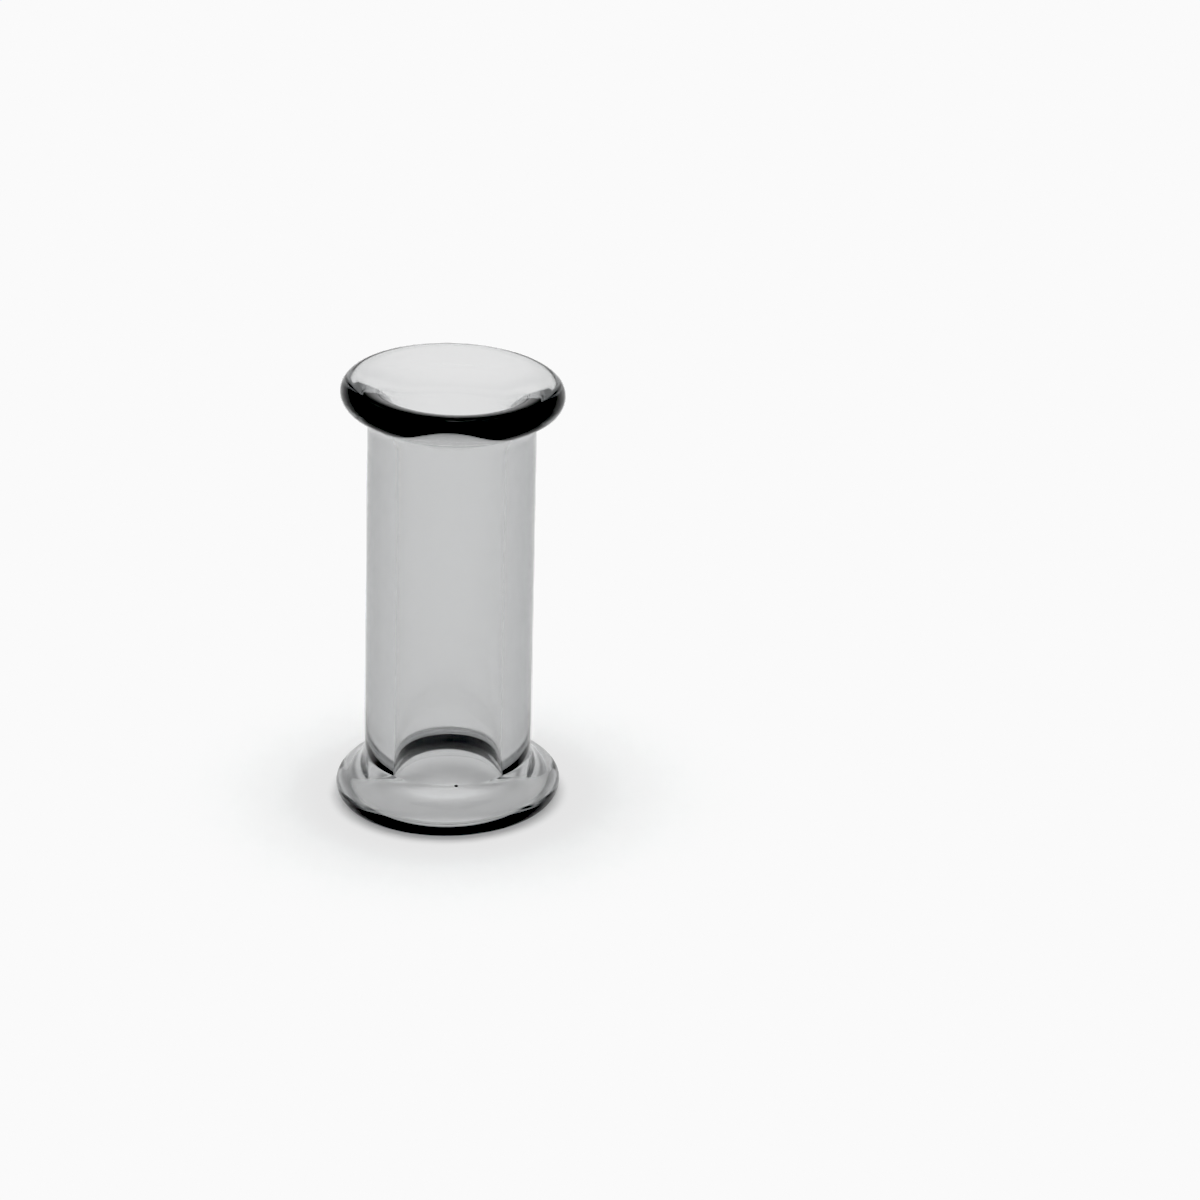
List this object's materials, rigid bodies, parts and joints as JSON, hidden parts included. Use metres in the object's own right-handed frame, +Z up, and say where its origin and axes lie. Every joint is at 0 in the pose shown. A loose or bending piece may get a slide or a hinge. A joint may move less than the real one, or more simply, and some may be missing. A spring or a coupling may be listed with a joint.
{
  "type": "double flare flesh tunnel",
  "caption": "Short clear glass tube with a rounded, flared lip at both ends, worn through a stretched piercing.",
  "frame": {"origin": "on the floor under the tube, in the middle of its box; the lower lip's ring lies on the floor", "axes": "+Z up along the bore from the lower lip to the upper lip, +X to the side that the tube leans to, +Y across it"},
  "size_m": [0.007, 0.0068, 0.0135],
  "materials": {
    "smoke_glass": "fire-polished clear glass with a faint smoke grey tint"
  },
  "bodies": {
    "root": {"tunnel": "smoke_glass"}
  },
  "joints": []
}
